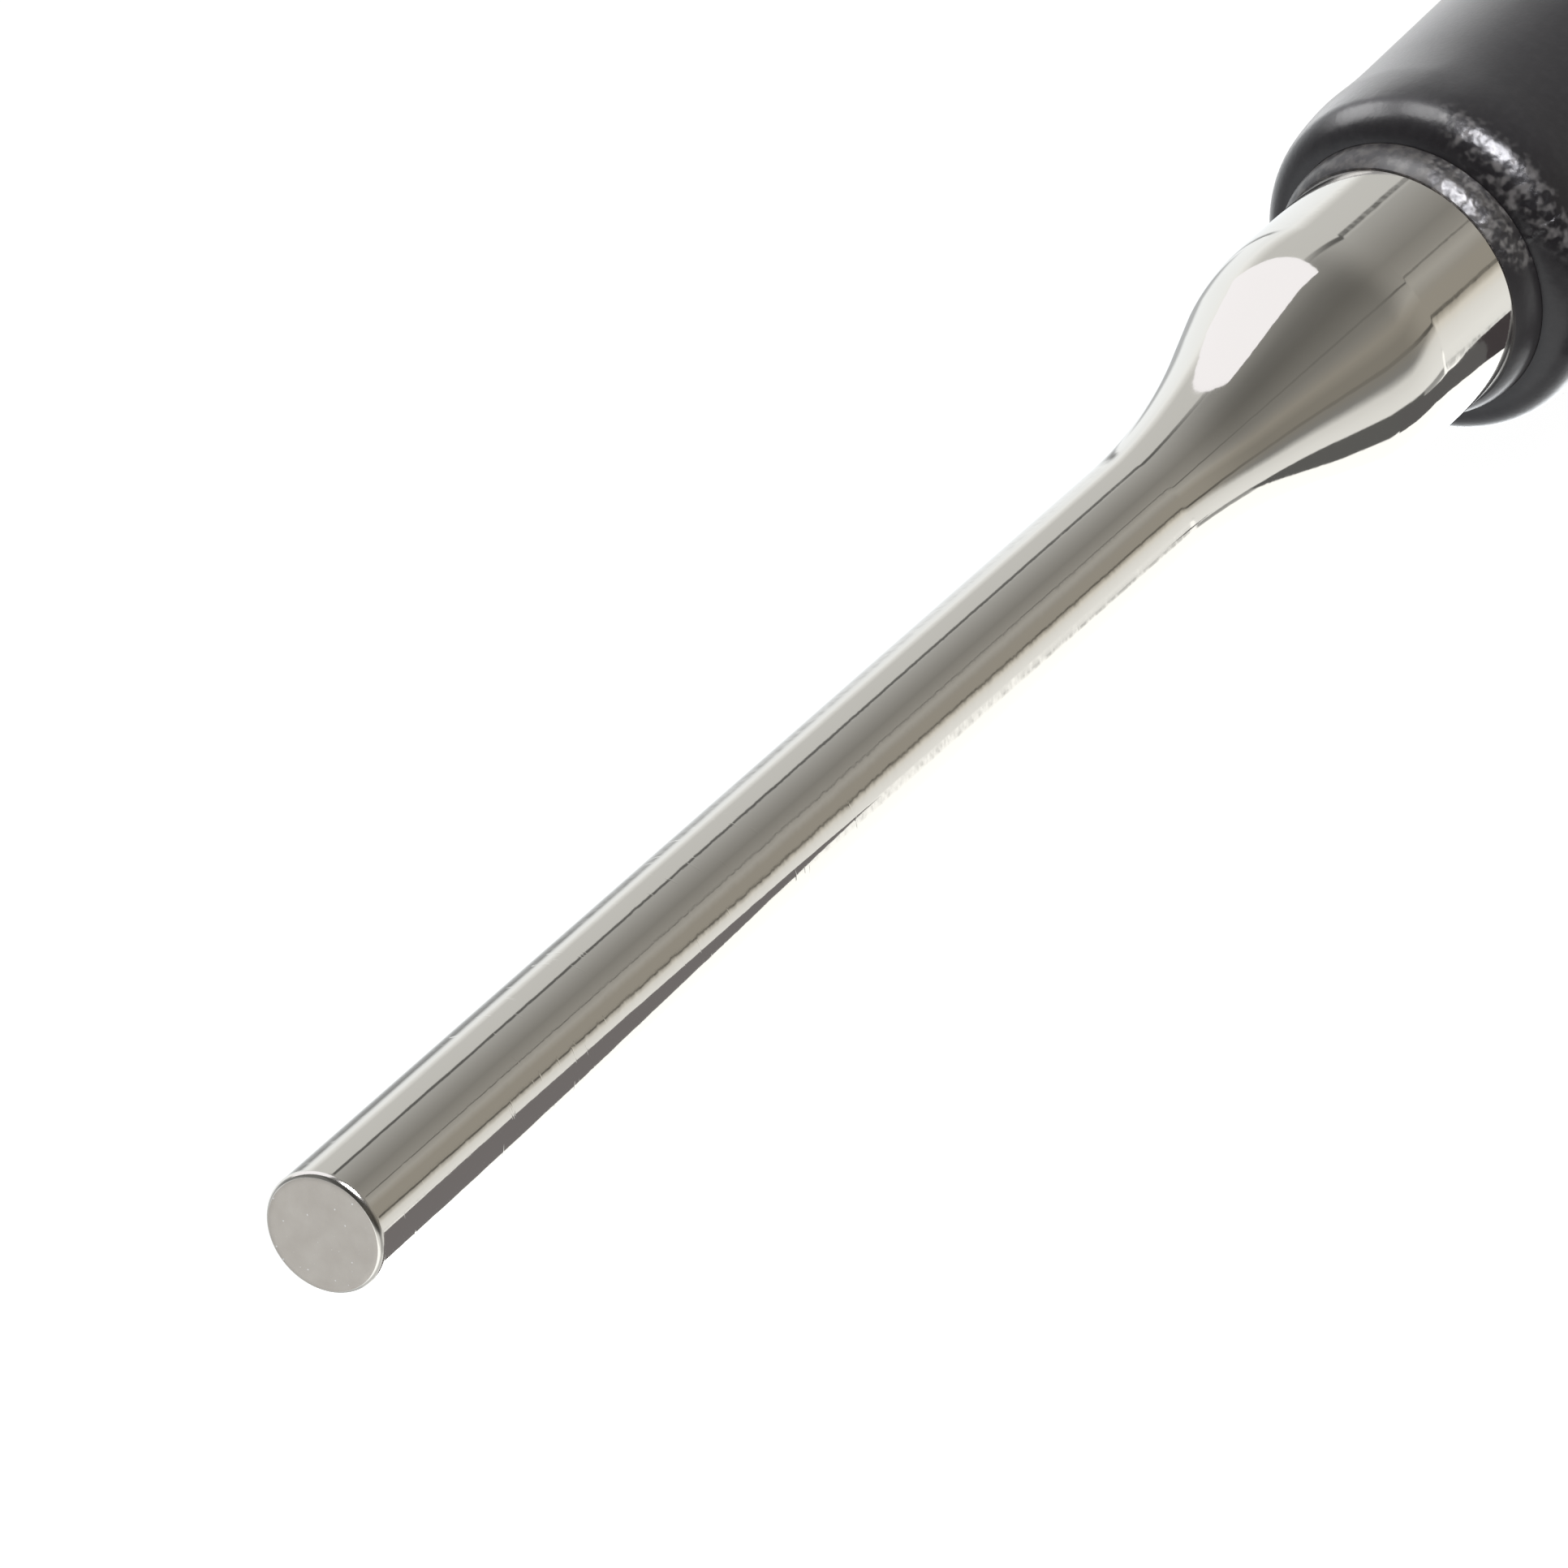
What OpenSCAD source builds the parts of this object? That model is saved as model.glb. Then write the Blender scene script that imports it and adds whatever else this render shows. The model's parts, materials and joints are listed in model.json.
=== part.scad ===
// Pin punch in a moulded two-layer grip.
// The tool lies along X: its tip face is at x = 0 and its striking face is at the far end.

/* [Steel punch] */
// Diameter of the working pin
pin_d = 4.9; // [3.9:0.1:6.9]
// Length of the straight pin, from the tip face to the flare
pin_l = 59; // [30:0.5:80]
// Rounding of the tip face's edge
tip_edge_r = 0.13; // [0.05:0.01:0.3]
// Diameter of the shank and of the striking head
shank_d = 10; // [9:0.1:10.6]
// Steepest angle of the flare's side, in degrees
flare_angle = 16.9; // [10:0.1:30]
// Bare shank between the flare and the grip
bare_l = 5; // [3:0.5:12]
// Length of the head that stands out behind the grip
head_l = 20; // [12:0.5:40]
// Chamfer round the striking face
head_chamfer = 1.2; // [0.4:0.1:2]

/* [Hold of the grip on the shank] */
// Depth of the seat that the grip is moulded into, below the bare shank
seat_depth = 0.2; // [0.2:0.05:0.4]
// Number of ring grooves in the shank
groove_count = 3; // [1:1:5]
// Width of each ring groove
groove_w = 3; // [2:0.5:6]
// Depth of each ring groove
groove_depth = 0.5; // [0.2:0.1:0.8]
// Length of the two flats that stop the grip from turning
key_l = 12; // [6:1:16]
// Depth of each of those flats
key_depth = 0.4; // [0.2:0.1:0.8]

/* [Grip] */
// Length of the grip, lip to lip
grip_l = 86; // [70:1:110]
// Length of each lip of the core that shows outside the cover
lip_l = 1.3; // [0.8:0.1:2]
// Height of the lip above the shank where the cover starts
lip_h = 0.44; // [0.3:0.02:0.8]
// Height of the lip's blunt front edge above the shank
lip_edge = 0.06; // [0.03:0.01:0.15]
// Diameter of the bead round the nose
bead_d = 13.88; // [13.4:0.02:15]
// Rounding of the nose's front edge
nose_r = 1.65; // [1.2:0.05:1.9]
// Radius of the bead's crown, along the tool
crown_r = 9.2; // [7:0.1:12]
// Radius of the waist behind the bead, along the tool
waist_r = 30; // [20:1:45]
// Angle at which the cover widens towards the head, in degrees
taper_angle = 1.45; // [0.8:0.05:1.8]
// Rounding of the rear edge
rear_edge_r = 2; // [1:0.1:2.4]
// Thickness of the cover over the core's two ends
end_wall = 0.9; // [0.6:0.1:1.4]
// Thickness of the cover behind the nose
front_wall = 0.85; // [0.6:0.05:1]
// Thickness of the cover at the rear
rear_wall = 1.5; // [1.2:0.1:2]
// Length of round cover in front of the flats, measured from the bead
round_l = 13; // [9:0.5:30]
// Depth of the flats below the round at the rear
flat_depth = 0.6; // [0.3:0.05:0.8]

/* [Hidden] */

$fn = 120;
// Room between layers that are moulded on each other
mould_gap = 0.02;
// How far a cutting solid runs past what it cuts
overrun = 1;
// The grip is a rounded hexagon towards its rear
flat_count = 6;

// Angles where arcs along the cover meet, in degrees
nose_angle = 10.8;
waist_angle = 3;
// Shares of the flare's rise in its hollow toe and in its rounded shoulder
toe_share = 0.54;
shoulder_share = 0.2;
// Straight pieces in one arc of an outline
arc_steps = 10;

pin_r = pin_d / 2;
shank_r = shank_d / 2;
rise = shank_r - pin_r;
toe_r = rise * toe_share / (1 - cos(flare_angle));
shoulder_r = rise * shoulder_share / (1 - cos(flare_angle));
cone_l = rise * (1 - toe_share - shoulder_share) / tan(flare_angle);
flare_l = (toe_r + shoulder_r) * sin(flare_angle) + cone_l;
shank_x = pin_l + flare_l;
grip_x = shank_x + bare_l;
grip_end_x = grip_x + grip_l;
total_l = grip_end_x + head_l;

seat_r = shank_r - seat_depth;
groove_r = seat_r - groove_depth;
groove_pitch = grip_l / (groove_count + 1);
key_x = grip_x + groove_pitch / 2;
key_face = seat_r - key_depth;

lip_r = shank_r + lip_h;
lip_climb = lip_h - lip_edge;
lip_round_r = (lip_l * lip_l + lip_climb * lip_climb) / (2 * lip_climb);
lip_sweep = asin(lip_l / lip_round_r);
face_x = grip_x + lip_l;
rear_x = grip_end_x - lip_l;
core_front_x = face_x + end_wall;
core_rear_x = rear_x - end_wall;

// Centres of the nose's rounding, the bead's crown and the waist, as [radius, place along the tool]
cover_bore_r = lip_r + mould_gap;
bead_r = bead_d / 2;
nose_c_r = bead_r - crown_r + (crown_r - nose_r) * cos(nose_angle);
nose_start = acos(max((cover_bore_r - nose_c_r) / nose_r, 0));
nose_c_x = face_x + nose_r * sin(nose_start);
bead_x = nose_c_x + (crown_r - nose_r) * sin(nose_angle);
waist_c_r = bead_r - crown_r + (crown_r + waist_r) * cos(waist_angle);
waist_x = bead_x + (crown_r + waist_r) * sin(waist_angle);
taper_x = waist_x + waist_r * sin(taper_angle);
taper_r = waist_c_r - waist_r * cos(taper_angle);
function taper_at(x) = taper_r + (x - taper_x) * tan(taper_angle);

core_front_r = waist_c_r - waist_r - front_wall;
core_rear_r = taper_at(core_rear_x) - rear_wall;

// The flats run out on the round cover in front, and lie below it by their depth at the rear
flat_x = bead_x + round_l;
flat_front_r = taper_at(flat_x);
flat_rear_r = taper_at(rear_x) - flat_depth;
flat_angle = atan((flat_rear_r - flat_front_r) / (rear_x - flat_x));

// Points of an arc about a centre [radius, place along the tool]
function arc(c, r, from, to) = [
    for (i = [0:arc_steps])
        let (a = from + (to - from) * i / arc_steps)
            [c.x + r * cos(a), c.y + r * sin(a)]
];

// Outline of the seat's ring grooves, with room added round them
function grooved(room) = [
    for (i = [1:groove_count])
        let (x = grip_x + groove_pitch * i - groove_w / 2)
            each [
                [seat_r + room, x],
                [groove_r + room, x + groove_depth],
                [groove_r + room, x + groove_w - groove_depth],
                [seat_r + room, x + groove_w]
            ]
];

// Turns an outline of [radius, place along the tool] points about the tool's axis
module turned(outline) {
    rotate([0, 90, 0])
        rotate_extrude()
            polygon(outline);
}

// The two side pieces that key flats take off a round shank
module key_sides(room) {
    side_w = 2 * (shank_r + overrun);
    for (side = [0, 180])
        rotate([side, 0, 0])
            translate([key_x - key_l / 2 + room, key_face + room, -side_w / 2])
                cube([key_l - 2 * room, shank_r + overrun - key_face, side_w]);
}

// What the core is moulded round: the seat with its grooves and key flats
module seat(room) {
    outline = concat(
        [[0, grip_x - overrun], [seat_r + room, grip_x - overrun]],
        grooved(room),
        [[seat_r + room, grip_end_x + overrun], [0, grip_end_x + overrun]]
    );
    difference() {
        turned(outline);
        key_sides(room);
    }
}

// Six planes that take the cover's round down to flats, one of them facing down
module flat_sides() {
    flat_l = rear_x - flat_x + 2 * overrun;
    flat_w = 2 * flat_rear_r;
    for (i = [0:flat_count - 1])
        rotate([i * 360 / flat_count, 0, 0])
            translate([flat_x, 0, -flat_front_r])
                rotate([0, flat_angle, 0])
                    translate([-overrun, -flat_w / 2, -2 * nose_r])
                        cube([flat_l, flat_w, 2 * nose_r]);
}

module punch() {
    outline = concat(
        [[0, 0]],
        arc([pin_r - tip_edge_r, tip_edge_r], tip_edge_r, -90, 0),
        arc([pin_r + toe_r, pin_l], toe_r, 180, 180 - flare_angle),
        arc([shank_r - shoulder_r, shank_x], shoulder_r, -flare_angle, 0),
        [[shank_r, grip_x], [seat_r, grip_x]],
        grooved(0),
        [
            [seat_r, grip_end_x],
            [shank_r, grip_end_x],
            [shank_r, total_l - head_chamfer],
            [shank_r - head_chamfer, total_l],
            [0, total_l]
        ]
    );
    color([0.74, 0.73, 0.70])
        difference() {
            turned(outline);
            key_sides(0);
        }
}

module grip_core() {
    lip_c_r = lip_r - lip_round_r;
    outline = concat(
        [[0, grip_x]],
        arc([lip_c_r, face_x], lip_round_r, -lip_sweep, 0),
        [
            [lip_r, core_front_x],
            [core_front_r, core_front_x],
            [core_rear_r, core_rear_x],
            [lip_r, core_rear_x]
        ],
        arc([lip_c_r, rear_x], lip_round_r, 0, lip_sweep),
        [[0, grip_end_x]]
    );
    color([0.20, 0.20, 0.21])
        difference() {
            turned(outline);
            seat(mould_gap);
        }
}

module grip_cover() {
    rear_r = taper_at(rear_x - rear_edge_r);
    outline = concat(
        [[cover_bore_r, face_x]],
        arc([nose_c_r, nose_c_x], nose_r, -nose_start, -nose_angle),
        arc([bead_r - crown_r, bead_x], crown_r, -nose_angle, waist_angle),
        arc([waist_c_r, waist_x], waist_r, 180 + waist_angle, 180 - taper_angle),
        arc([rear_r - rear_edge_r, rear_x - rear_edge_r], rear_edge_r, 0, 90),
        [
            [cover_bore_r, rear_x],
            [cover_bore_r, core_rear_x + mould_gap],
            [core_rear_r + mould_gap, core_rear_x + mould_gap],
            [core_front_r + mould_gap, core_front_x - mould_gap],
            [cover_bore_r, core_front_x - mould_gap]
        ]
    );
    color([0.09, 0.09, 0.10])
        difference() {
            turned(outline);
            flat_sides();
        }
}

punch();
grip_core();
grip_cover();
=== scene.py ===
"""Pin punch in a moulded two-layer grip: the looks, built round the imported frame.

Lengths are in millimetres until a mesh, lamp or camera is made. The tool lies along X, its tip at 0.
"""

import json
import math

import bmesh
import bpy
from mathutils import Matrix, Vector


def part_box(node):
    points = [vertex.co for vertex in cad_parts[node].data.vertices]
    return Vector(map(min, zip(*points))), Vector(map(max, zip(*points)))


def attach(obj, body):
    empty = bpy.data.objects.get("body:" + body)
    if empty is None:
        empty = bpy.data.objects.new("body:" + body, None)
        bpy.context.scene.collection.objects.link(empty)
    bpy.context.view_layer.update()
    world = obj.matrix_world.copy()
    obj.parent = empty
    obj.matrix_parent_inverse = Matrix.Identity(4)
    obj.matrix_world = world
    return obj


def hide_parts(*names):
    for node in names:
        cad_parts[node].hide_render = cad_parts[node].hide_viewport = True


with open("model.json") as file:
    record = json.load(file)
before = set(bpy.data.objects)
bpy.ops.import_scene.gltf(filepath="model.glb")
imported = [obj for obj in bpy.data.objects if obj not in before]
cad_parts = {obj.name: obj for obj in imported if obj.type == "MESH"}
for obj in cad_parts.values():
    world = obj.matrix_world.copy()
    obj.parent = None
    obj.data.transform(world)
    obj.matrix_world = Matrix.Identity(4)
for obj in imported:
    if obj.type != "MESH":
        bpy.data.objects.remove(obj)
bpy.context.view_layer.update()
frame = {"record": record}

# Metres in a millimetre
MM = 0.001

# Sizes that the frame gives
mounts = {mount["name"]: mount for mount in frame["record"]["mounts"]}
PIN_R = mounts["drive_pin"]["dims"]["r_mm"]
SHANK_R = mounts["head_shank"]["dims"]["r_mm"]
TOTAL_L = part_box("punch")[1].x / MM
GRIP_X, GRIP_END_X = (corner.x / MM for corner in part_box("grip_core"))
FACE_X, REAR_X = (corner.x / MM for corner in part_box("grip_cover"))

# Steel punch
TIP_EDGE_R = 0.28
# Degrees of that rounding, out of 90, which the ground tip face leaves
TIP_EDGE_ANGLE = 66.0
PIN_L = 59.0
FLARE_ANGLE = 16.9
# Shares of the flare's rise in its hollow toe and in its rounded shoulder
TOE_SHARE = 0.54
SHOULDER_SHARE = 0.2
HEAD_CHAMFER = 1.2
SEAT_DEPTH = 0.2
GROOVE_COUNT = 3
GROOVE_W = 3.0
GROOVE_DEPTH = 0.5

# Grip
MOULD_GAP = 0.02
LIP_H = 0.44
LIP_EDGE = 0.06
# Power of the lip's curve, which is fuller for a higher one
LIP_FULLNESS = 2.8
BEAD_R = 6.94
NOSE_R = 1.65
CROWN_R = 9.2
WAIST_R = 30.0
NOSE_ANGLE = 10.8
WAIST_ANGLE = 3.0
TAPER_ANGLE = 1.45
REAR_EDGE_R = 2.0
END_WALL = 0.9
FRONT_WALL = 0.85
REAR_WALL = 1.5
ROUND_L = 13.0
FLAT_DEPTH = 0.6
FLAT_COUNT = 6
# How near to each other the flats and the round are where they melt together
FLAT_BLEND = 0.12
# Marks on the grip, and the core's side that is painted lighter as if lit from above, in degrees round
# the tool from +Y up to +Z
PARTING_ANGLE = 148.0
LIT_SIDE_ANGLE = 80.0
GATE_ANGLE = 128.0

# Faces round a turned piece, and the turn from face to face that looks sharp
TURNS = 288
SHARP_ANGLE = 30.0
# Share of a face's normal along the tool from which the face counts as a ground end
END_FACE = 0.999
# Lengths of the short faces between a curve or a corner and the long side behind it
PIN_STEP = 0.02
HEAD_STEP = 0.1
COVER_STEP = 0.3

# The photograph: its width in pixels, where the tip face's middle stands in it, and its scale there
PHOTO_W = 1932
TIP_PX = Vector((397.8, 1521.4))
PX_PER_MM = 34.286
CAMERA_DISTANCE = 2000.0
CAMERA_AZIMUTH = -60.17
CAMERA_ELEVATION = 30.21
SENSOR_W = 36.0
# Nearest and farthest that the camera sees, in metres
CAMERA_RANGE = (0.1, 20.0)


def sin_deg(angle):
    return math.sin(math.radians(angle))


def cos_deg(angle):
    return math.cos(math.radians(angle))


def tan_deg(angle):
    return math.tan(math.radians(angle))


# Outlines, as [place along the tool, radius] points


def arc(centre, radius, start, end, steps):
    """Points of an arc. Angles turn from straight out of the axis, at 0, to along it, at 90."""
    x, r = centre
    angles = [start + (end - start) * i / steps for i in range(steps + 1)]
    return [(x + radius * sin_deg(a), r + radius * cos_deg(a)) for a in angles]


def straight(start, end, steps):
    """Evenly spaced points from start up to end, without end."""
    shares = [i / steps for i in range(steps)]
    return [(start[0] + (end[0] - start[0]) * s, start[1] + (end[1] - start[1]) * s) for s in shares]


def grooves(room):
    """The seat's ring grooves, with room round them."""
    seat_r = SHANK_R - SEAT_DEPTH + room
    pitch = (GRIP_END_X - GRIP_X) / (GROOVE_COUNT + 1)
    points = []
    for i in range(1, GROOVE_COUNT + 1):
        x = GRIP_X + pitch * i - GROOVE_W / 2
        points += [
            (x, seat_r),
            (x + GROOVE_DEPTH, seat_r - GROOVE_DEPTH),
            (x + GROOVE_W - GROOVE_DEPTH, seat_r - GROOVE_DEPTH),
            (x + GROOVE_W, seat_r),
        ]
    return points


def punch_outline():
    """The working pin, its flare, the shank and the head, in one bar."""
    rise = SHANK_R - PIN_R
    turn = 1 - cos_deg(FLARE_ANGLE)
    toe_r = rise * TOE_SHARE / turn
    shoulder_r = rise * SHOULDER_SHARE / turn
    cone_l = rise * (1 - TOE_SHARE - SHOULDER_SHARE) / tan_deg(FLARE_ANGLE)
    shank_x = PIN_L + (toe_r + shoulder_r) * sin_deg(FLARE_ANGLE) + cone_l
    seat_r = SHANK_R - SEAT_DEPTH
    # The ground face cuts into the edge's rounding
    edge_x = TIP_EDGE_R * sin_deg(TIP_EDGE_ANGLE)
    edge_r = PIN_R - TIP_EDGE_R
    return (
        straight((0, 0), (0, edge_r + TIP_EDGE_R * cos_deg(TIP_EDGE_ANGLE)), steps=12)
        + arc((edge_x, edge_r), TIP_EDGE_R, -TIP_EDGE_ANGLE, 0, steps=16)
        + straight((edge_x + PIN_STEP, PIN_R), (PIN_L, PIN_R), steps=60)
        + arc((PIN_L, PIN_R + toe_r), toe_r, 180, 180 - FLARE_ANGLE, steps=60)
        + arc((shank_x, SHANK_R - shoulder_r), shoulder_r, -FLARE_ANGLE, 0, steps=40)
        + [(GRIP_X, SHANK_R), (GRIP_X, seat_r)]
        + grooves(0)
        + [(GRIP_END_X, seat_r), (GRIP_END_X, SHANK_R)]
        + straight((GRIP_END_X + HEAD_STEP, SHANK_R), (TOTAL_L - HEAD_CHAMFER, SHANK_R), steps=20)
        + straight((TOTAL_L - HEAD_CHAMFER, SHANK_R), (TOTAL_L, SHANK_R - HEAD_CHAMFER), steps=4)
        + straight((TOTAL_L, SHANK_R - HEAD_CHAMFER), (TOTAL_L, 0), steps=12)
        + [(TOTAL_L, 0)]
    )


def lip(end_x, face_x):
    """The lip's rounded outside, from its blunt edge up to the cover."""
    steps = 24
    shares = [i / steps for i in range(steps + 1)]
    climb = LIP_H - LIP_EDGE
    top = SHANK_R + LIP_H
    return [(end_x + (face_x - end_x) * s, top - climb * (1 - s) ** LIP_FULLNESS) for s in shares]


def waist_centre():
    """Place and radius of the waist's arc centre."""
    x = bead_x() + (CROWN_R + WAIST_R) * sin_deg(WAIST_ANGLE)
    return x, BEAD_R - CROWN_R + (CROWN_R + WAIST_R) * cos_deg(WAIST_ANGLE)


def nose_centre():
    """Centre of the nose's rounding, and the angle at which it starts from the cover's bore."""
    r = BEAD_R - CROWN_R + (CROWN_R - NOSE_R) * cos_deg(NOSE_ANGLE)
    bore_r = SHANK_R + LIP_H + MOULD_GAP
    start = math.degrees(math.acos((bore_r - r) / NOSE_R))
    return FACE_X + NOSE_R * sin_deg(start), r, start


def bead_x():
    return nose_centre()[0] + (CROWN_R - NOSE_R) * sin_deg(NOSE_ANGLE)


def taper_at(x):
    """Radius of the cover's round taper at a place along the tool."""
    waist_x, waist_r = waist_centre()
    taper_x = waist_x + WAIST_R * sin_deg(TAPER_ANGLE)
    return waist_r - WAIST_R * cos_deg(TAPER_ANGLE) + (x - taper_x) * tan_deg(TAPER_ANGLE)


def core_ends():
    """Places and radii of the two ends of the core's body, inside the cover."""
    front_x = FACE_X + END_WALL
    rear_x = REAR_X - END_WALL
    return (front_x, waist_centre()[1] - WAIST_R - FRONT_WALL), (rear_x, taper_at(rear_x) - REAR_WALL)


def core_outline():
    """A closed outline of the core, from its bore round its outside."""
    (front_x, front_r), (rear_x, rear_r) = core_ends()
    lip_r = SHANK_R + LIP_H
    bore_r = SHANK_R - SEAT_DEPTH + MOULD_GAP
    return (
        [(GRIP_X, bore_r)]
        + lip(GRIP_X, FACE_X)
        + [(front_x, lip_r), (front_x, front_r), (rear_x, rear_r), (rear_x, lip_r)]
        + lip(GRIP_END_X, REAR_X)[::-1]
        + [(GRIP_END_X, bore_r)]
        + grooves(MOULD_GAP)[::-1]
    )


def cover_outline():
    """A closed outline of the cover, from its bore round its outside."""
    (front_x, front_r), (rear_x, rear_r) = core_ends()
    nose_x, nose_r, nose_start = nose_centre()
    waist_x, waist_r = waist_centre()
    bore_r = SHANK_R + LIP_H + MOULD_GAP
    edge_x = REAR_X - REAR_EDGE_R
    edge_r = taper_at(edge_x)
    side_x = waist_x + WAIST_R * sin_deg(TAPER_ANGLE) + COVER_STEP
    return (
        arc((nose_x, nose_r), NOSE_R, -nose_start, -NOSE_ANGLE, steps=40)
        + arc((bead_x(), BEAD_R - CROWN_R), CROWN_R, -NOSE_ANGLE, WAIST_ANGLE, steps=30)[1:]
        + arc((waist_x, waist_r), WAIST_R, 180 + WAIST_ANGLE, 180 - TAPER_ANGLE, steps=30)[1:]
        + straight((side_x, taper_at(side_x)), (edge_x, edge_r), steps=120)
        + arc((edge_x, edge_r - REAR_EDGE_R), REAR_EDGE_R, 0, 90, steps=24)
        + [
            (REAR_X, bore_r),
            (rear_x + MOULD_GAP, bore_r),
            (rear_x + MOULD_GAP, rear_r + MOULD_GAP),
            (front_x - MOULD_GAP, front_r + MOULD_GAP),
            (front_x - MOULD_GAP, bore_r),
        ]
    )


def flattened(x, radius, angle):
    """The radius once six flats have taken down the round cover; one flat faces down."""
    flat_x = bead_x() + ROUND_L
    front = taper_at(flat_x)
    rear = taper_at(REAR_X) - FLAT_DEPTH
    height = front + (rear - front) * (x - flat_x) / (REAR_X - flat_x)
    pitch = 360 / FLAT_COUNT
    off = (angle + 90 + pitch / 2) % pitch - pitch / 2
    flat = height / cos_deg(off)
    blend = max(FLAT_BLEND - abs(radius - flat), 0) / FLAT_BLEND
    return min(radius, flat) - blend * blend * FLAT_BLEND / 4


# Meshes


def turned(name, outline, closed, shape=None):
    """A piece turned about the X axis.

    A closed outline makes a ring, and any other starts and ends on the axis. Shape, if given, turns a
    place along the tool, a radius and an angle round it into the radius there.
    """
    mesh = bmesh.new()
    rings = []
    for x, r in outline:
        if r == 0:
            rings.append([mesh.verts.new((x * MM, 0, 0))])
            continue
        ring = []
        for i in range(TURNS):
            angle = 360 * i / TURNS
            radius = shape(x, r, angle) if shape else r
            y, z = radius * cos_deg(angle), radius * sin_deg(angle)
            ring.append(mesh.verts.new((x * MM, y * MM, z * MM)))
        rings.append(ring)
    pairs = list(zip(rings, rings[1:]))
    if closed:
        pairs.append((rings[-1], rings[0]))
    for near, far in pairs:
        for i in range(TURNS):
            j = (i + 1) % TURNS
            corners = [near[i % len(near)], near[j % len(near)], far[j % len(far)], far[i % len(far)]]
            mesh.faces.new(dict.fromkeys(corners))
    bmesh.ops.recalc_face_normals(mesh, faces=mesh.faces)
    for face in mesh.faces:
        face.smooth = True
    data = bpy.data.meshes.new(name)
    mesh.to_mesh(data)
    mesh.free()
    data.set_sharp_from_angle(angle=math.radians(SHARP_ANGLE))
    piece = bpy.data.objects.new(name, data)
    bpy.context.scene.collection.objects.link(piece)
    return piece


# Materials


class Wire:
    """A node's output that can be written in sums: each sum adds a Math node."""

    def __init__(self, sheet, socket):
        self.sheet = sheet
        self.socket = socket

    def __add__(self, other):
        return self.sheet.math("ADD", self, other)

    __radd__ = __add__

    def __sub__(self, other):
        return self.sheet.math("SUBTRACT", self, other)

    def __rsub__(self, other):
        return self.sheet.math("SUBTRACT", other, self)

    def __mul__(self, other):
        return self.sheet.math("MULTIPLY", self, other)

    __rmul__ = __mul__

    def __truediv__(self, other):
        return self.sheet.math("DIVIDE", self, other)

    def __abs__(self):
        return self.sheet.math("ABSOLUTE", self)

    def rising(self, low, high):
        """0 below low, 1 above high and smooth between them."""
        settings = {"interpolation_type": "SMOOTHSTEP"}
        inputs = {"Value": self, "From Min": low, "From Max": high}
        return self.sheet.node("ShaderNodeMapRange", settings, inputs)

    def within(self, rise, fall):
        """0, then 1 past the pair of limits in rise, then 0 again past the pair in fall."""
        return self.rising(*rise) * (1 - self.rising(*fall))


class Sheet:
    """The node tree of a material or of the world."""

    def __init__(self, owner):
        owner.use_nodes = True
        self.tree = owner.node_tree
        self.tree.nodes.clear()

    def node(self, kind, settings=None, inputs=None, output=0):
        """Adds a node, sets it up, gives its inputs their values or wires, and returns one output."""
        made = self.tree.nodes.new(kind)
        for name, value in (settings or {}).items():
            if name == "stops":
                set_stops(made.color_ramp, value)
            else:
                setattr(made, name, value)
        for name, value in (inputs or {}).items():
            if isinstance(value, Wire):
                self.tree.links.new(value.socket, made.inputs[name])
            else:
                made.inputs[name].default_value = value
        return Wire(self, made.outputs[output]) if made.outputs else None

    def math(self, operation, first, second=0.0):
        """The result of one Math node."""
        return self.node("ShaderNodeMath", {"operation": operation}, {0: first, 1: second})

    def mix(self, share, first, second):
        """Two colours mixed by share."""
        # The node's sockets 6 and 7, and its output 2, are the ones for colours
        inputs = {"Factor": share, 6: first, 7: second}
        return self.node("ShaderNodeMix", {"data_type": "RGBA"}, inputs, 2)

    def noise(self, place, scale, detail):
        """Noise between 0 and 1 over a place in millimetres.

        Scale is in bumps per millimetre, and detail is how many layers of finer bumps are added.
        """
        return self.node("ShaderNodeTexNoise", {}, {"Vector": place, "Scale": scale, "Detail": detail})

    def bump(self, height):
        """A normal from a height in millimetres."""
        return self.node("ShaderNodeBump", {}, {"Strength": 1.0, "Distance": MM, "Height": height})

    def place(self):
        """The place on the piece, in millimetres along each axis."""
        spot = self.node("ShaderNodeTexCoord", output="Object")
        return self.node("ShaderNodeVectorMath", {"operation": "SCALE"}, {0: spot, "Scale": 1 / MM})

    def parts(self, vector):
        """The three numbers of a vector."""
        first = self.node("ShaderNodeSeparateXYZ", {}, {0: vector})
        return [Wire(self, output) for output in first.socket.node.outputs]

    def stretched(self, place, factors):
        """A place with each axis times its factor: one under 1 draws out the noise along that axis."""
        return self.node("ShaderNodeVectorMath", {"operation": "MULTIPLY"}, {0: place, 1: factors})

    def outward(self, place, angle):
        """How far a place lies from the axis towards an angle round the tool, in millimetres."""
        y, z = self.parts(place)[1:]
        return y * cos_deg(angle) + z * sin_deg(angle)


def set_stops(ramp, stops):
    """Gives a colour ramp its stops, each a place and a colour."""
    while len(ramp.elements) < len(stops):
        ramp.elements.new(0.5)
    for element, (place, colour) in zip(ramp.elements, stops):
        element.position = place
        element.color = colour


def grey(value):
    return (value, value, value, 1.0)


def finished(name, finish):
    """A material whose surface is one Principled shader, with the inputs that a finish makes."""
    material = bpy.data.materials.new(name)
    sheet = Sheet(material)
    shader = sheet.node("ShaderNodeBsdfPrincipled", {}, finish(sheet))
    sheet.node("ShaderNodeOutputMaterial", {}, {"Surface": shader})
    return material


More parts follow.
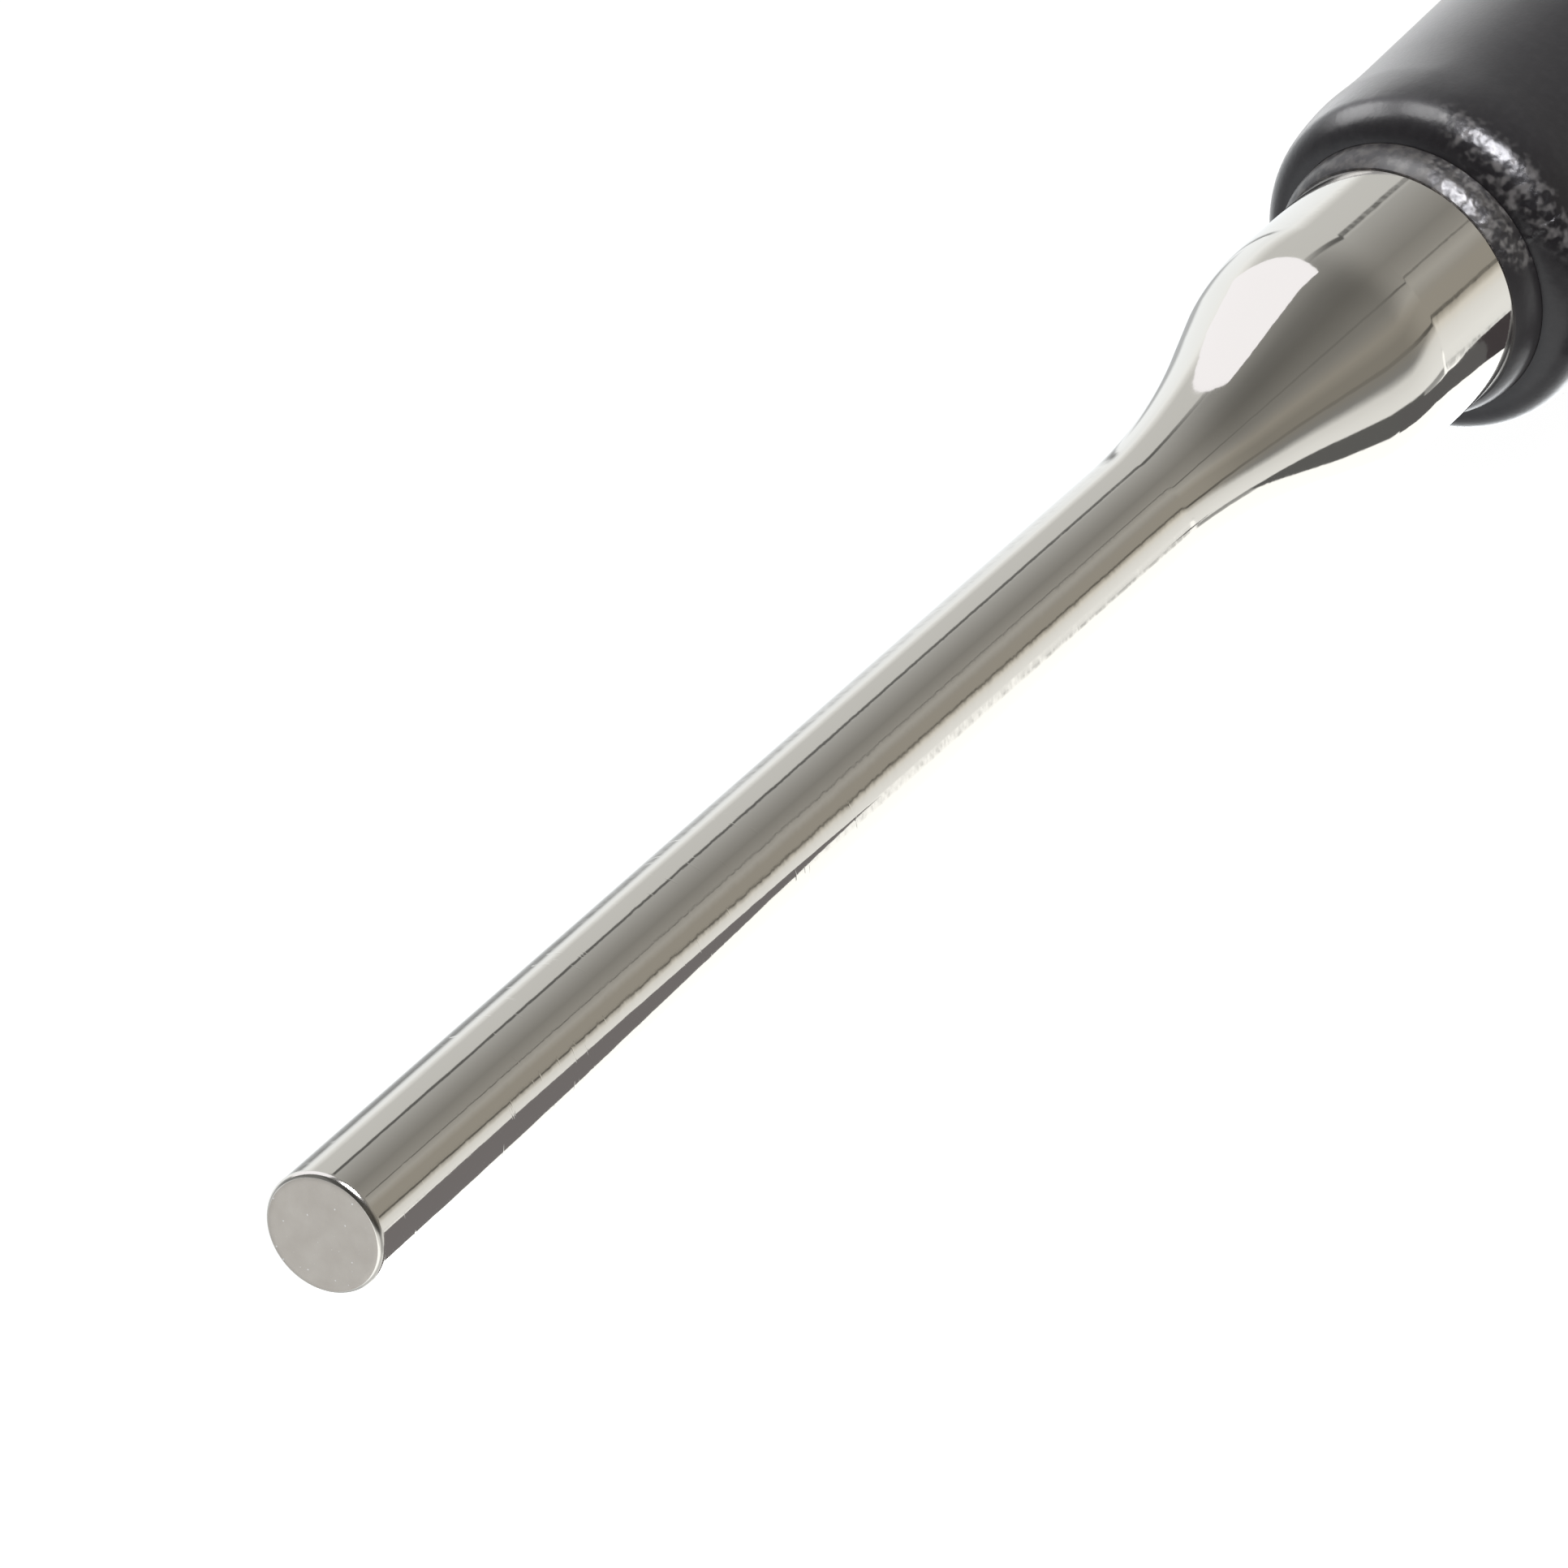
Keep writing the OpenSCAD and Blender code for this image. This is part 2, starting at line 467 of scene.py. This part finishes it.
# Colours of the finishes
NICKEL = (0.80, 0.77, 0.72, 1.0)
GROUND_DARK = (0.50, 0.455, 0.41, 1.0)
GROUND_PALE = (0.62, 0.58, 0.53, 1.0)
GROUND_SPECK = (0.85, 0.85, 0.85, 1.0)
CORE_BLACK = (0.024, 0.022, 0.024, 1.0)
# Painted light: the grey that the core's upper side is painted where light falls on it
CORE_PAINTED_LIGHT = (0.075, 0.070, 0.067, 1.0)
# The grey of the core's painted glints
CORE_PAINTED_GLINT = (0.20, 0.19, 0.185, 1.0)
RUBBER_DARK = (0.008, 0.007, 0.009, 1.0)
RUBBER_PALE = (0.015, 0.013, 0.015, 1.0)
# The grey of the rubber's painted glints
RUBBER_PAINTED_GLINT = (0.19, 0.18, 0.18, 1.0)

# Heights of what makes the plating uneven, with higher kinks near the tip, and of the grain of the
# ground ends
WAVE_H = 0.012
KINK_H = 0.0032
TIP_KINK_H = 0.0046
PIT_H = 0.0007
SCUFF_H = 0.0016
GROUND_GRAIN_H = 0.004
# Heights of the grip's grain, of the coarser one at the gate, and of the flash on the parting line
CORE_GRAIN_H = 0.010
CORE_GATE_H = 0.05
RUBBER_GRAIN_H = 0.004
NOSE_GRAIN_H = 0.008
RUBBER_GATE_H = 0.04
FLASH_H = 0.03
# Where along the tool the kinks fall to their lower height, the scuffs end, the nose's grain gives way to
# the side's, and the gate's mark ends
KINKS_FALL = (20, 42)
SCUFFS_END = (PIN_L - 15, PIN_L - 7)
NOSE_ENDS = (FACE_X + 1.3, FACE_X + 3.2)
GATE_ENDS = (FACE_X + 0.9, FACE_X + 1.7)


def polished_plate(sheet):
    """Bright nickel over a drawn bar: nearly a mirror, with slight waves and fine kinks."""
    place = sheet.place()
    x = sheet.parts(place)[0]
    waves = sheet.noise(sheet.stretched(place, (0.25, 1, 1)), scale=0.35, detail=1.0)
    kinks = sheet.noise(sheet.stretched(place, (0.6, 1, 1)), scale=1.1, detail=2.0)
    kink_h = TIP_KINK_H - (TIP_KINK_H - KINK_H) * x.rising(*KINKS_FALL)
    pits = sheet.noise(place, scale=2.6, detail=1.0)
    # Short scuffs across the pin, in patches
    patches = sheet.noise(place, scale=0.12, detail=0.0).rising(0.50, 0.62) * (1 - x.rising(*SCUFFS_END))
    ticks = sheet.noise(sheet.stretched(place, (5, 0.6, 0.6)), scale=1.0, detail=1.0)
    scuffs = ticks.rising(0.70, 0.76) * patches
    height = waves * WAVE_H + kinks * kink_h + pits * PIT_H + scuffs * SCUFF_H
    haze = sheet.noise(sheet.stretched(place, (0.3, 3, 3)), scale=1.5, detail=2.0)
    # The tip's edge is a little duller
    edge = 1 - x.rising(TIP_EDGE_R, TIP_EDGE_R + 0.1)
    return {
        "Base Color": NICKEL,
        "Metallic": 1.0,
        "Roughness": haze * 0.03 + 0.035 + edge * 0.11,
        "Normal": sheet.bump(height),
    }


def ground_face(sheet):
    """The tip and the striking face, ground flat after plating: matt, with faint specks."""
    place = sheet.place()
    cloud = sheet.noise(place, scale=1.2, detail=3.0)
    speck = sheet.noise(place, scale=7.0, detail=0.0).rising(0.80, 0.84) * 0.7
    grain = sheet.noise(place, scale=14.0, detail=3.0)
    colour = sheet.mix(cloud, GROUND_DARK, GROUND_PALE)
    return {
        "Base Color": sheet.mix(speck, colour, GROUND_SPECK),
        "Metallic": 1.0,
        "Roughness": 0.5 - speck * 0.2,
        "Normal": sheet.bump(grain * GROUND_GRAIN_H),
    }


def parting_line(sheet, place):
    """1 on the line where the mould's halves met, along two sides of the grip, and 0 off it."""
    off = abs(sheet.outward(place, PARTING_ANGLE + 90))
    ragged = sheet.noise(place, scale=2.2, detail=2.0)
    return (1 - off.rising(0.04, 0.10 + ragged * 0.25)) * ragged.rising(0.3, 0.6)


def gate_mark(sheet, place, radius):
    """1 on the coarse patch that the mould's inlet has left at a given radius, and 0 away from it."""
    return (sheet.outward(place, GATE_ANGLE) / radius).rising(0.86, 0.95)


def moulded_core(sheet):
    """Hard black plastic, grained by its mould, with painted light in mottled grey along its upper side
    and painted glints on the gate's patch.
    """
    place = sheet.place()
    grain = sheet.noise(place, scale=2.4, detail=1.0)
    gate = gate_mark(sheet, place, SHANK_R + LIP_H / 2)
    # Painted light: mottled grey on the core's upper side, where light falls on it
    lit_side = sheet.outward(place, LIT_SIDE_ANGLE).rising(1.0, 4.0)
    painted_light = sheet.noise(place, scale=2.4, detail=3.0).rising(0.36, 0.66) * lit_side
    # Painted glints: light specks in the colour on the gate's coarse patch, where light catches the grain
    painted_glints = sheet.noise(place, scale=3.0, detail=1.0).rising(0.44, 0.76) * gate
    flash = parting_line(sheet, place)
    tone = sheet.mix(painted_light, CORE_BLACK, CORE_PAINTED_LIGHT)
    return {
        "Base Color": sheet.mix(painted_glints * 0.8, tone, CORE_PAINTED_GLINT),
        "Roughness": 0.38 - grain * 0.1,
        "IOR": 1.5,
        "Normal": sheet.bump(grain * (CORE_GRAIN_H + gate * CORE_GATE_H) + flash * FLASH_H),
    }


def moulded_rubber(sheet):
    """Black rubber: fine grain along its side, a coarser one round its nose, and the gate's mark, with
    painted glints in light specks.
    """
    place = sheet.place()
    x = sheet.parts(place)[0]
    nose = 1 - x.rising(*NOSE_ENDS)
    fine = sheet.noise(place, scale=7.0, detail=2.0)
    coarse = sheet.noise(place, scale=2.2, detail=1.0)
    gate = (1 - x.rising(*GATE_ENDS)) * gate_mark(sheet, place, BEAD_R - NOSE_R / 2)
    # Painted glints: light specks in the colour, faint all over and strong on the gate's coarse patch,
    # where light catches the grain
    painted_glints = sheet.noise(place, scale=2.6, detail=1.0).rising(0.44, 0.74) * (0.03 + 0.97 * gate)
    flash = parting_line(sheet, place)
    tone = sheet.mix(coarse, RUBBER_DARK, RUBBER_PALE)
    coarse_h = nose * NOSE_GRAIN_H + gate * RUBBER_GATE_H
    height = fine * RUBBER_GRAIN_H + coarse * coarse_h + flash * FLASH_H
    return {
        "Base Color": sheet.mix(painted_glints * 0.6, tone, RUBBER_PAINTED_GLINT),
        "Roughness": 0.38 + fine * 0.06 - nose * 0.12,
        "IOR": 1.5,
        "Sheen Weight": 0.5,
        "Sheen Roughness": 0.25,
        "Normal": sheet.bump(height),
    }


# Studio

# Walls of the studio as polished metal shows them: degrees up from the back horizon, round over the
# tool and down to the front, and the brightness there
STUDIO_WALLS = [
    (-90, 1.25),
    (-50, 1.25),
    (-19, 0.38),
    (-6, 0.26),
    (4, 0.93),
    (12, 1.00),
    (20, 0.80),
    (27, 0.64),
    (60, 0.64),
    (66, 0.43),
    (89, 0.32),
    (106, 0.25),
    (126, 0.31),
    (140, 0.42),
    (151, 0.33),
    (173, 0.33),
    (177, 0.53),
    (181, 0.78),
    (190, 0.86),
    (204, 0.93),
    (270, 0.93),
]
# How warm the walls look over the same degrees: 0 is cool, a third is neutral and 1 is warm
STUDIO_WARMTH = [
    (-90, 0.1),
    (6, 0.1),
    (24, 0.33),
    (58, 0.33),
    (89, 0.52),
    (110, 0.67),
    (139, 0.67),
    (151, 1.0),
    (170, 1.0),
    (184, 0.4),
    (196, 0.33),
    (270, 0.2),
]
COOL = (0.97, 1.015, 1.055, 1.0)
WARM = (1.045, 0.99, 0.87, 1.0)
# Dark seams between the walls: their middles, how far they drift along the tool, half their widths, and
# how much light is left there
STUDIO_SEAMS = [
    (62.5, -3.0, 3.8, 0.22),
    (130.0, -4.5, 1.3, 0.42),
    (172.0, -5.0, 2.4, 0.32),
]
# Brightness of the wall behind the tool, of the table, of the tool's shadow on it, and what the table
# adds close under the tool
WHITE_WALL = 1.03
WHITE_TABLE = 1.3
TABLE_SHADOW = 0.125
TABLE_GLOW = 3
# Seen from the photograph's angle, the parts mirror directions that point further and further along the
# tool: first the flare, then the pin from its tip to its far end, then the shank. The studio changes over
# between the two numbers of a pair
FLARE_ENDS = (0.5, 0.745)
TIP_STARTS = (0.737, 0.7425)
FAR_END_STARTS = (0.744, 0.756)
SHANK_STARTS = (0.756, 0.760)
# Brightness of the whole studio for matt surfaces
SOFT_LIGHT = 0.5
# The lamps' white, which is a little cool
LAMP_WHITE = (0.975, 0.975, 1.03, 1.0)
# Place along the tool that the lamps face
LAMPS_X = 70.0
# Sides of a flat card's middle on which its corners lie, in order round it
CORNER_SIDES = [(-1, -1), (1, -1), (1, 1), (-1, 1)]
# The table's height, just under the grip's lower flat, how far it reaches, its own white, and the share
# of its look that this makes. The rest is lit, and takes the tool's shadow
TABLE_Z = -8.3
TABLE_REACH = 4000.0
TABLE_COLOUR = (1.06, 1.06, 1.06, 1.0)
TABLE_SHARE = 0.93


def wall_ramp(sheet, turn, stops):
    """A ramp over degrees round the tool, from straight down at -90 to straight down again at 270."""
    # The ramp holds half of each value, which keeps its colours between 0 and 1
    points = [((angle + 90) / 360, grey(value / 2)) for angle, value in stops]
    return sheet.node("ShaderNodeValToRGB", {"stops": points}, {0: (turn + 90) / 360}) * 2


def with_shadow(walls, along, turn, edge):
    """The walls with the tool's shadow on the table, which starts at the turn given as edge."""
    # The flare's underside shows it
    bend = along.rising(0.43, 0.635)
    beyond = (turn - 231 + 18 * bend * bend).rising(-1, 1)
    shadow = along.within((0.33, 0.36), (0.6, 0.63)) * (1 - beyond)
    shadow = shadow * (turn - 209 - 1.5 * bend).rising(-1, 1)
    walls = walls + shadow * (TABLE_SHADOW - walls)
    # It runs out in a thin line, which the flare's toe and the far end of the pin show
    line = along.within((0.59, 0.63), (0.738, 0.742)) + along.within((0.7505, 0.7535), (0.7568, 0.7576))
    line = line * (turn - edge).within((-5.5, -3.5), (1, 3))
    return walls * (1 - 0.62 * line)


def studio_walls(sheet, along, turn):
    """Brightness in a direction, by how far it points along the tool and its turn round it."""
    # 0 up to where the tip end of the pin looks, and 1 from where its far end does
    drift = along.rising(*FAR_END_STARTS)
    # 0 where the tip end of the pin looks, and 1 elsewhere
    past_tip = drift + 1 - along.rising(*TIP_STARTS)
    # 1 where the flare's middle looks
    flare = 1 - along.rising(*FLARE_ENDS)
    # 1 where the bare shank looks
    shank = along.rising(*SHANK_STARTS)
    walls = wall_ramp(sheet, turn + turn.rising(100, 125) * (drift * 5 - flare * 10), STUDIO_WALLS)
    # The seams are fainter on the flare and on the shank
    strong = 1 - 0.7 * flare - 0.45 * shank
    for middle, shift, half, left in STUDIO_SEAMS:
        off = abs(turn - middle - drift * shift)
        walls = walls * (1 - (1 - left) * strong * (1 - off.rising(half * 0.4, half)))
    # The white wall behind the tool fills in along it, and reaches higher beside the shank
    top = 6 + 11 * shank + 12 * flare
    behind = past_tip * (1 - (turn - top).rising(-8, 7))
    walls = walls + behind * (WHITE_WALL - walls)
    # The dark ceiling that the flare shows, darkest in its middle
    ceiling = flare * turn.within((60, 70), (180, 190))
    darkest = (1 - along.rising(0.40, 0.68)) * turn.within((76, 96), (104, 130))
    walls = walls * (1 - 0.27 * ceiling) * (1 - 0.22 * darkest)
    # The white table below, beyond the edge of its silver side
    edge = 198 + 18 * past_tip.rising(0.5, 1.1)
    walls = walls + (turn - edge).rising(-2, 2) * (WHITE_TABLE - walls)
    walls = with_shadow(walls, along, turn, edge)
    # A dark strip far behind the tool, which outlines the flare
    strip = along.within((0.62, 0.66), (0.715, 0.735)) * turn.within((-50, -44), (-26, -14))
    walls = walls * (1 - 0.5 * strip)
    # The lit table under the tool, which shows along the tool's lower edge
    under = along.rising(0.4, 0.6) * (1 + turn.rising(250, 262) - turn.rising(-60, -50))
    walls = walls + under * TABLE_GLOW
    # The studio is dimmer in directions nearly square to the tool
    return walls * (1 - 0.5 * along.within((-0.5, -0.3), (0.1, 0.28)))


def studio_world():
    """White to the camera, plain soft light to matt surfaces, and the studio's walls to gloss."""
    world = bpy.data.worlds.new("studio")
    bpy.context.scene.world = world
    # Matt surfaces see it as even, so no light rays are aimed at its bright parts
    world.cycles.sampling_method = "NONE"
    sheet = Sheet(world)
    direction = sheet.node("ShaderNodeTexCoord", output="Generated")
    along, depth, rise = sheet.parts(direction)
    turn = sheet.math("ARCTAN2", rise, depth) * math.degrees(1)
    # From -90, straight down, round to 270, straight down again
    turn = turn + 450
    turn = sheet.math("MODULO", turn, 360.0) - 90
    walls = studio_walls(sheet, along, turn)
    # It is dark above and behind the camera
    walls = walls * (1 - 0.72 * (1 - along.rising(-0.5, 0.25)) * rise.rising(-0.25, 0.05))
    warmth = wall_ramp(sheet, turn, STUDIO_WARMTH)
    path = sheet.node("ShaderNodeLightPath", {}, {}, "Is Camera Ray")
    outputs = path.socket.node.outputs
    gloss = Wire(sheet, outputs["Is Glossy Ray"]) + Wire(sheet, outputs["Is Transmission Ray"])
    # 1 for gloss and glass, and 0 for all else
    gloss = gloss.rising(0, 0.5)
    strength = SOFT_LIGHT + gloss * (walls - SOFT_LIGHT)
    strength = strength + path * (1 - strength)
    colour = sheet.mix(gloss, grey(1.0), sheet.mix(warmth, COOL, WARM))
    shader = sheet.node("ShaderNodeBackground", {}, {"Color": colour, "Strength": strength})
    sheet.node("ShaderNodeOutputWorld", {}, {"Surface": shader})


def stage_material(name, colour, share, strength=1.0):
    """The material of a card that glows by itself, for a share of its look, and is lit for the rest."""
    material = bpy.data.materials.new(name)
    sheet = Sheet(material)
    matt = sheet.node("ShaderNodeBsdfDiffuse", {}, {"Color": grey(0.9)})
    glow = sheet.node("ShaderNodeEmission", {}, {"Color": colour, "Strength": strength})
    shader = sheet.node("ShaderNodeMixShader", {}, {0: share, 1: matt, 2: glow})
    sheet.node("ShaderNodeOutputMaterial", {}, {"Surface": shader})
    return material


def card(name, corners, material):
    """A flat card from its corners, which isn't part of the object."""
    data = bpy.data.meshes.new(name)
    data.from_pydata([Vector(corner) * MM for corner in corners], [], [range(len(corners))])
    piece = bpy.data.objects.new(name, data)
    bpy.context.scene.collection.objects.link(piece)
    data.materials.append(material)
    return piece


def only_for_gloss(shade):
    """Lets a card show in polished and glossy surfaces, and nowhere else."""
    shade.visible_camera = False
    shade.visible_diffuse = False
    shade.visible_shadow = False
    shade.visible_transmission = False


def soft_box(name, aim, distance, size, light, slide=(0, 0), shine=None):
    """A flat lamp that faces the tool from a direction, slid aside and up in its own plane.

    Light says how strongly it lights matt surfaces. Shine, where white is 1, gives it a glowing face that
    gloss shows instead of the lamp itself.
    """
    back = Vector(aim).normalized()
    over = back.cross(Vector((1, 0, 0))).normalized()
    across = over.cross(back)
    width, height = size
    middle = back * distance + across * slide[0] + over * slide[1] + Vector((LAMPS_X, 0, 0))
    lamp = bpy.data.lights.new(name, "AREA")
    lamp.shape = "RECTANGLE"
    lamp.size = width * MM
    lamp.size_y = height * MM
    # The power grows with the lamp's area, so its size doesn't change how bright it looks
    lamp.energy = math.pi * light * lamp.size * lamp.size_y
    place = bpy.data.objects.new(name, lamp)
    bpy.context.scene.collection.objects.link(place)
    place.location = middle * MM
    place.rotation_mode = "QUATERNION"
    place.rotation_quaternion = back.to_track_quat("Z", "X")
    place.visible_camera = False
    if not shine:
        return place
    place.visible_glossy = False
    corners = [middle + across * width / 2 * i + over * height / 2 * j for i, j in CORNER_SIDES]
    glow = stage_material(name + "_face", LAMP_WHITE, 1.0, shine)
    only_for_gloss(card(name + "_face", corners, glow))
    return place


def lights_only(lamp, pieces):
    """Keeps a lamp's light to some pieces, as flags do in a studio."""
    lit = bpy.data.collections.new(lamp.name + "_lit")
    for piece in pieces:
        lit.objects.link(piece)
    lamp.light_linking.receiver_collection = lit


def floor():
    """A white table under the tool. It keeps the tool's faint shadow, and gloss doesn't see it."""
    corners = [(TABLE_REACH * i, TABLE_REACH * j, TABLE_Z) for i, j in CORNER_SIDES]
    table = card("table", corners, stage_material("white_table", TABLE_COLOUR, TABLE_SHARE))
    table.visible_glossy = False


# Outlines and colours on the table of what the plating shows as dark: a card in front of the pin, and
# the grip's shadow, which is paler at its front end
CARD_OUTLINE = [
    (2, -3),
    (13.4, -5.1),
    (19.1, -6.3),
    (25.3, -7.9),
    (32.4, -10.4),
    (40.4, -13.5),
    (49.8, -17.8),
    (56.3, -21.5),
    (65.5, -26.5),
    (66, -29.5),
    (65.8, -33),
    (62.4, -34.7),
    (56.9, -34.9),
    (51.2, -34.6),
    (43.7, -32.7),
    (33.6, -28.6),
    (20, -24),
    (5, -18),
]
SHADOW_OUTLINE = [
    (87, -9.1),
    (88, -8.4),
    (190, -10),
    (190, -19),
    (95.9, -18.5),
    (94.5, -18.1),
]
PALE_SHADOW_OUTLINE = [
    (76.6, -10.5),
    (82.5, -10.9),
    (84.8, -9.7),
    (87, -9.1),
    (94.5, -18.1),
    (93.5, -17.6),
    (90.9, -16),
    (88.1, -16.2),
    (84.4, -17.2),
    (81.1, -18.5),
    (79.2, -19.2),
]
CARD_COLOUR = (0.195, 0.185, 0.19, 1.0)
SHADOW_COLOUR = (0.062, 0.054, 0.058, 1.0)
PALE_SHADOW_COLOUR = (0.122, 0.121, 0.123, 1.0)


def flat_card(name, outline, colour):
    """A shape on the table, which only gloss sees."""
    corners = [(x, y, TABLE_Z) for x, y in outline]
    only_for_gloss(card(name, corners, stage_material(name, colour, 1.0)))


def place_camera():
    """The photograph's camera: far off, so that the tool hardly narrows with distance."""
    camera = bpy.data.cameras.new("camera")
    focal_px = PX_PER_MM * CAMERA_DISTANCE
    camera.sensor_width = SENSOR_W
    camera.lens = focal_px / PHOTO_W * SENSOR_W
    camera.clip_start, camera.clip_end = CAMERA_RANGE
    eye = bpy.data.objects.new("camera", camera)
    bpy.context.scene.collection.objects.link(eye)
    back = Vector((
        sin_deg(CAMERA_AZIMUTH) * cos_deg(CAMERA_ELEVATION),
        -cos_deg(CAMERA_AZIMUTH) * cos_deg(CAMERA_ELEVATION),
        sin_deg(CAMERA_ELEVATION),
    ))
    turn = back.to_track_quat("Z", "Y")
    aside = (TIP_PX.x - PHOTO_W / 2) / focal_px * CAMERA_DISTANCE
    above = (PHOTO_W / 2 - TIP_PX.y) / focal_px * CAMERA_DISTANCE
    eye.rotation_mode = "QUATERNION"
    eye.rotation_quaternion = turn
    eye.location = (back * CAMERA_DISTANCE - turn @ Vector((aside, above, 0))) * MM
    bpy.context.scene.camera = eye


# The scene

bpy.context.scene.view_settings.view_transform = "Standard"
place_camera()
studio_world()
soft_box("back_box", (0.14, 0.758, 0.636), 600, (582, 690), light=1.1, slide=(5, -80), shine=1.13)
soft_box("small_lamp", (-0.14, -0.30, 0.94), 500, (240, 200), light=8, shine=34)
grip_light = soft_box("grip_light", (0.75, 0.654, 0.092), 600, (436, 320), light=1.5, slide=(0, 30))
# Strips behind the grip, which only its gloss shows
strip_low = soft_box("strip_low", (0, cos_deg(30), sin_deg(30)), 450, (200, 290), light=6)
strip_high = soft_box("strip_high", (0, cos_deg(66), sin_deg(66)), 450, (200, 290), light=6)
for strip in (strip_low, strip_high):
    strip.visible_diffuse = False
floor()
flat_card("dark_card", CARD_OUTLINE, CARD_COLOUR)
flat_card("grip_shadow", SHADOW_OUTLINE, SHADOW_COLOUR)
flat_card("pale_shadow", PALE_SHADOW_OUTLINE, PALE_SHADOW_COLOUR)

plate = finished("polished_plate", polished_plate)
ground = finished("ground_face", ground_face)

punch_steel = turned("punch_steel", punch_outline(), False)
punch_steel.data.materials.append(plate)
punch_steel.data.materials.append(ground)
# The tip face and the striking face are ground
for face in punch_steel.data.polygons:
    face.material_index = int(abs(face.normal.x) > END_FACE)
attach(punch_steel, "root")
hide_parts("punch")

core_sleeve = turned("core_sleeve", core_outline(), True)
core_sleeve.data.materials.append(finished("moulded_core", moulded_core))
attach(core_sleeve, "root")
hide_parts("grip_core")

cover_sleeve = turned("cover_sleeve", cover_outline(), True, flattened)
cover_sleeve.data.materials.append(finished("moulded_rubber", moulded_rubber))
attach(cover_sleeve, "root")
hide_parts("grip_cover")

lights_only(grip_light, [cover_sleeve])
lights_only(strip_low, [cover_sleeve])
lights_only(strip_high, [core_sleeve, cover_sleeve])
